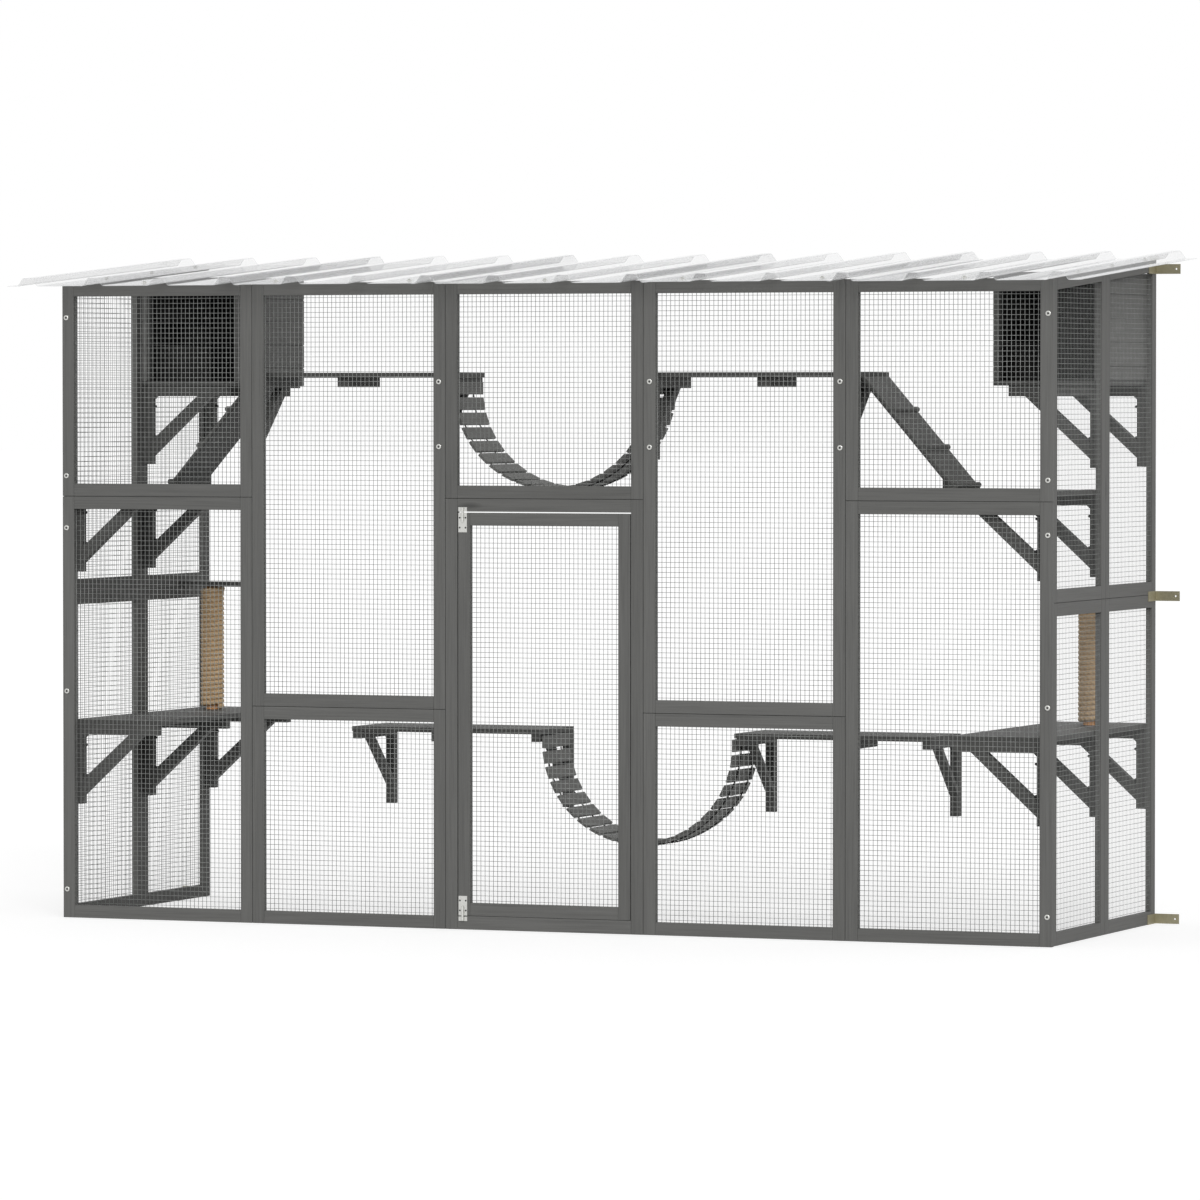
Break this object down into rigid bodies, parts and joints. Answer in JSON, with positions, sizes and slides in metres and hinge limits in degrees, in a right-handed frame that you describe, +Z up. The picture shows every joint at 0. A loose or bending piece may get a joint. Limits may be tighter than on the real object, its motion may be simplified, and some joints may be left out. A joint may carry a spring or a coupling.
{
  "type": "walk-in cat enclosure",
  "caption": "Lean-to walk-in cat enclosure of dark grey timber and galvanised netting, with a clear ribbed roof, a door, walkways, cat houses, ramps, rope bridges and sisal posts.",
  "frame": {"origin": "middle of the bounding box at the height the walls stand on", "axes": "+X along the front wall to the right, +Y from the front wall to the house wall, +Z up"},
  "size_m": [3.234, 1.0698, 1.9199],
  "materials": {
    "timber": "dark grey paint, matt, grain showing",
    "netting": "galvanised, dull",
    "roof": "clear",
    "bolts": "zinc plated",
    "screws": "dark",
    "hinges": "bright zinc",
    "wall_brackets": "yellow passivated steel",
    "rope": "twisted cord",
    "sisal": "coarse natural rope"
  },
  "bodies": {
    "frame": {"front_end_left_lower": "timber", "front_end_left_upper": "timber", "front_mid_left_lower": "timber", "front_mid_left_upper": "timber", "door_frame": "timber", "front_over_door": "timber", "front_mid_right_lower": "timber", "front_mid_right_upper": "timber", "front_end_right_lower": "timber", "front_end_right_upper": "timber", "front_netting": "netting", "left_wall_front_lower": "timber", "left_wall_front_upper": "timber", "left_wall_back_lower": "timber", "left_wall_back_upper": "timber", "left_wall_netting": "netting", "right_wall_front_lower": "timber", "right_wall_front_upper": "timber", "right_wall_back_lower": "timber", "right_wall_back_upper": "timber", "right_wall_netting": "netting", "hinge_frame_plates": "hinges", "roof_sheet_1": "roof", "roof_sheet_2": "roof", "roof_sheet_3": "roof", "roof_sheet_4": "roof", "roof_sheet_5": "roof", "roof_screws": "bolts", "left_lower_platform": "timber", "right_lower_platform": "timber", "left_mid_platform": "timber", "right_mid_platform": "timber", "cat_house_floors": "timber", "lower_platform_brackets": "timber", "mid_platform_brackets": "timber", "cat_house_brackets": "timber", "upper_walkway_brackets": "timber", "lower_walkway_brackets": "timber", "bracket_screws": "screws", "upper_walkways": "timber", "lower_walkways": "timber", "left_cat_house": "timber", "right_cat_house": "timber", "left_ramp": "timber", "right_ramp": "timber", "left_post_core": "sisal", "right_post_core": "sisal", "post_windings": "sisal", "post_shelves": "timber", "frame_bolts": "bolts", "left_wall_angles": "wall_brackets", "right_wall_angles": "wall_brackets"},
    "door": {"door_leaf": "timber", "door_netting": "netting", "hinge_door_plates": "hinges"},
    "upper_bridge": {"upper_bridge_slats": "timber", "upper_bridge_ropes": "rope"},
    "lower_bridge": {"lower_bridge_slats": "timber", "lower_bridge_ropes": "rope"}
  },
  "joints": [
    {"name": "door_hinge", "type": "hinge", "parent": "frame", "child": "door", "pos_m": [-0.246, -0.41956, 0.60775], "axis": [0, 0, 1], "range_deg": [-115, 0]},
    {"name": "upper_bridge_swing", "type": "hinge", "parent": "frame", "child": "upper_bridge", "pos_m": [0, -0.25711, 1.527], "axis": [1, 0, 0], "range_deg": [-5, 5]},
    {"name": "lower_bridge_swing", "type": "hinge", "parent": "frame", "child": "lower_bridge", "pos_m": [0.013, 0.36789, 0.497], "axis": [1, 0, 0], "range_deg": [-5, 5]}
  ]
}
